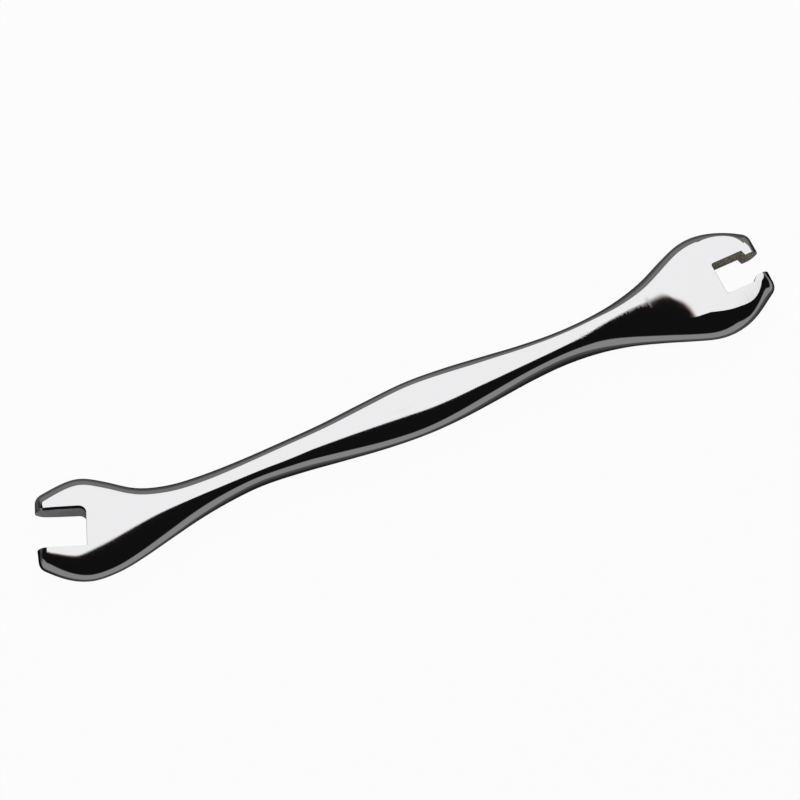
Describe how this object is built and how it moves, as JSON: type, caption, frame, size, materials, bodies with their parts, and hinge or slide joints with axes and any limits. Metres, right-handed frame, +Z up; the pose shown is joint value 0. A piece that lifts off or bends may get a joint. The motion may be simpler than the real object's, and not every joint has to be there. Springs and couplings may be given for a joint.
{
  "type": "spoke wrench",
  "caption": "Double-ended forged spoke wrench with a bulged handle, an angled open jaw at one end and a keyed slotted jaw at the other.",
  "frame": {"origin": "underneath the wrench, on the surface it lies on, at the middle of its outline's box", "axes": "+X along the handle from the open jaw to the keyed jaw, +Y to the far edge, +Z up off the lower land"},
  "size_m": [0.1284, 0.0188, 0.005],
  "materials": {
    "polished_steel": "mirror polished, with fine transverse polishing marks"
  },
  "bodies": {
    "root": {"wrench_body": "polished_steel"}
  },
  "joints": []
}
